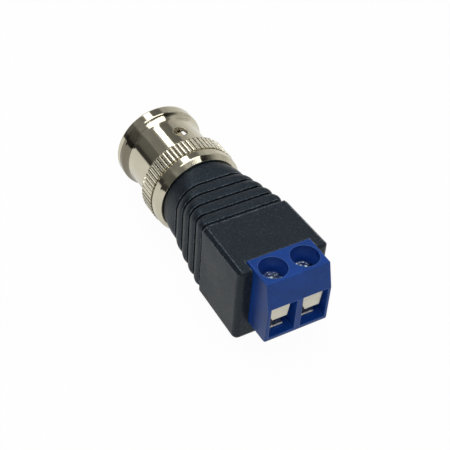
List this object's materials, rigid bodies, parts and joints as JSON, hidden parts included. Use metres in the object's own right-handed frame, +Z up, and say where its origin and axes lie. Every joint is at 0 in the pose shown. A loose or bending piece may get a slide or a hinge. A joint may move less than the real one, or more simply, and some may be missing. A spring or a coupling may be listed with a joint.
{
  "type": "screw terminal to bayonet plug adapter",
  "caption": "Round bayonet plug on a ribbed black body with a blue screw terminal housing for a bare two-wire cable.",
  "frame": {"origin": "centre of the part's width and length, on the plane that the coupling nut's knurl stands on", "axes": "+Y from the wire entries towards the plug's mating end, +Z up towards the screwdriver wells, +X to the right as seen from the wire entries"},
  "size_m": [0.0146, 0.0416, 0.0146],
  "materials": {
    "body_plastic": "fine satin grain",
    "terminal_plastic": "satin moulded",
    "screw_steel": "bright zinc plated",
    "guard_steel": "satin plated sheet",
    "contact_metal": "bright tinned",
    "nut_plating": "bright nickel plated",
    "shell_plating": "bright nickel plated",
    "ring_steel": "satin",
    "gasket_rubber": "matte",
    "insulator_plastic": "waxy white",
    "pin_plating": "gold plated",
    "signal_jacket": "smooth",
    "ground_jacket": "smooth",
    "tube_plastic": "satin"
  },
  "bodies": {
    "adapter": {"body_moulding": "body_plastic", "terminal_housing": "terminal_plastic", "terminal_contact_left": "contact_metal", "terminal_contact_right": "contact_metal", "outer_contact": "shell_plating", "wave_washer": "ring_steel", "retaining_ring": "ring_steel", "gasket": "gasket_rubber", "front_insulator": "insulator_plastic", "rear_insulator": "insulator_plastic", "centre_pin": "pin_plating", "centre_lead": "signal_jacket", "ground_lead": "ground_jacket", "solder_tube": "tube_plastic"},
    "nut_seat": {"thrust_washer": "ring_steel"},
    "nut": {"coupling_nut": "nut_plating"},
    "guard_left": {"wire_guard_left": "guard_steel"},
    "guard_right": {"wire_guard_right": "guard_steel"},
    "screw_left": {"terminal_screw_left": "screw_steel"},
    "screw_right": {"terminal_screw_right": "screw_steel"}
  },
  "joints": [
    {"name": "nut_float", "type": "slide", "parent": "adapter", "child": "nut_seat", "axis": [0, 1, 0], "range_m": [0, 0.00075], "stiffness_N_per_m": 10000, "deforming": ["wave_washer"]},
    {"name": "nut_turn", "type": "hinge", "parent": "nut_seat", "child": "nut", "pos_m": [0, 0.0079, 0.0073], "axis": [0, 1, 0], "continuous": true},
    {"name": "guard_left_slide", "type": "slide", "parent": "adapter", "child": "guard_left", "axis": [0, 0, -1], "range_m": [0, 0.00133]},
    {"name": "screw_left_turn", "type": "hinge", "parent": "guard_left", "child": "screw_left", "pos_m": [-0.0025, -0.01723, 0.0073], "axis": [0, 0, -1], "range_deg": [-45, 1109]},
    {"name": "guard_right_slide", "type": "slide", "parent": "adapter", "child": "guard_right", "axis": [0, 0, -1], "range_m": [-0.0003, 0.00103]},
    {"name": "screw_right_turn", "type": "hinge", "parent": "guard_right", "child": "screw_right", "pos_m": [0.0025, -0.01723, 0.0073], "axis": [0, 0, -1], "range_deg": [-285, 869]}
  ],
  "couplings": [
    {"joint": "screw_left_turn", "follows": "guard_left_slide", "rad_per_m": 13963},
    {"joint": "screw_right_turn", "follows": "guard_right_slide", "rad_per_m": 13963}
  ]
}
